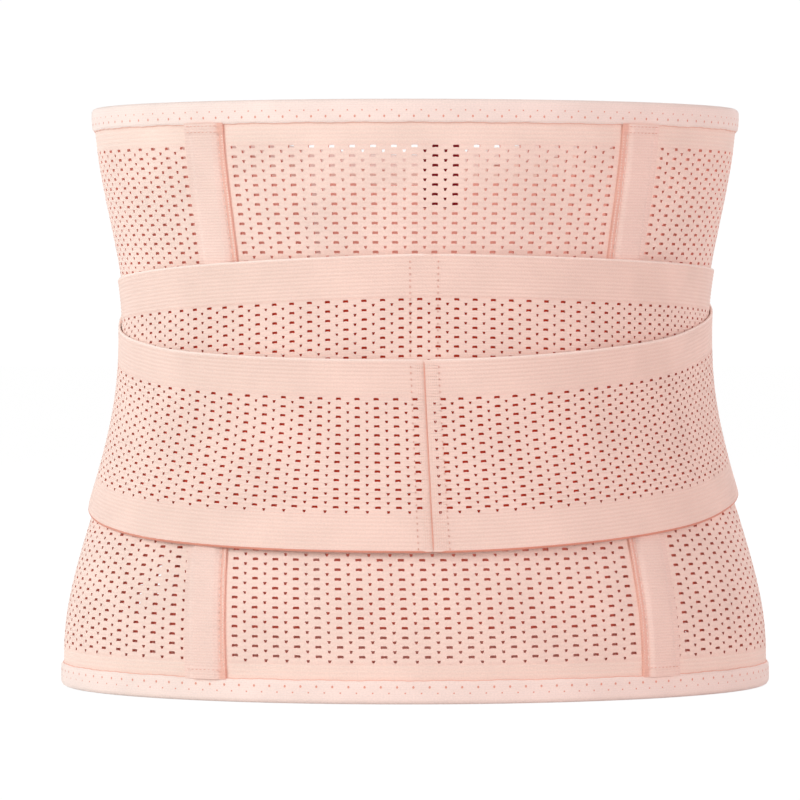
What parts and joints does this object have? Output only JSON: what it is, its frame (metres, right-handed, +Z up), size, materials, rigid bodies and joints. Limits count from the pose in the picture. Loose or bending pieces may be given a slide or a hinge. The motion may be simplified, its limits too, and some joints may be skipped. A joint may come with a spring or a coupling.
{
  "type": "lumbar support belt",
  "caption": "Elastic mesh lumbar support belt in its worn shape, with stays in channels, stacked pull straps and a hook-and-loop front closure.",
  "frame": {"origin": "centre of the belt's footprint, on the plane its bottom edge rests on", "axes": "+Z up along the spine, -Y towards the back of the belt, +Y towards the front closure, -X towards the wearer's left"},
  "size_m": [0.2898, 0.216, 0.235],
  "materials": {
    "mesh": "openwork elastic mesh knit",
    "strap": "openwork elastic webbing",
    "tape": "ribbed woven tape",
    "binding": "soft folded binding",
    "loop": "brushed loop pile",
    "hook": "hook tape",
    "stay": "smooth",
    "label": "plain woven label"
  },
  "bodies": {
    "belt": {"back_panel": "mesh", "left_side_panel": "mesh", "right_side_panel": "mesh", "left_back_stay": "stay", "right_back_stay": "stay", "left_back_channel": "tape", "right_back_channel": "tape", "left_front_stay": "stay", "right_front_stay": "stay", "left_front_channel": "tape", "right_front_channel": "tape", "top_binding": "binding", "bottom_binding": "binding", "size_label": "label", "strap_anchor_tape": "tape", "upper_strap_left": "strap", "upper_strap_right": "strap", "lower_strap_left": "strap", "lower_strap_right": "strap"},
    "left_flap": {"left_front_flap": "mesh", "top_binding_left": "binding", "bottom_binding_left": "binding", "end_binding_left": "binding", "closure_hook_patch": "hook", "left_landing_loop": "loop"},
    "right_flap": {"right_front_flap": "mesh", "top_binding_right": "binding", "bottom_binding_right": "binding", "end_binding_right": "binding", "closure_loop_patch": "loop", "right_landing_loop": "loop"},
    "left_tab": {"left_pull_tab": "strap", "left_tab_hook": "hook"},
    "right_tab": {"right_pull_tab": "strap", "right_tab_hook": "hook"}
  },
  "joints": [
    {"name": "left_flap_open", "type": "hinge", "parent": "belt", "child": "left_flap", "pos_m": [-0.0795, 0.07702, 0], "axis": [0, 0, 1], "range_deg": [0, 90]},
    {"name": "right_flap_open", "type": "hinge", "parent": "belt", "child": "right_flap", "pos_m": [0.0795, 0.07702, 0], "axis": [0, 0, 1], "range_deg": [-24.3, 0]},
    {"name": "left_tab_peel", "type": "hinge", "parent": "left_flap", "child": "left_tab", "pos_m": [-0.07123, 0.08474, 0.124], "axis": [0, 0, 1], "range_deg": [0, 65]},
    {"name": "right_tab_peel", "type": "hinge", "parent": "right_flap", "child": "right_tab", "pos_m": [0.07123, 0.08474, 0.124], "axis": [0, 0, 1], "range_deg": [-65, 0]}
  ],
  "couplings": [
    {"joint": "right_flap_open", "follows": "left_flap_open", "ratio": -0.27}
  ]
}
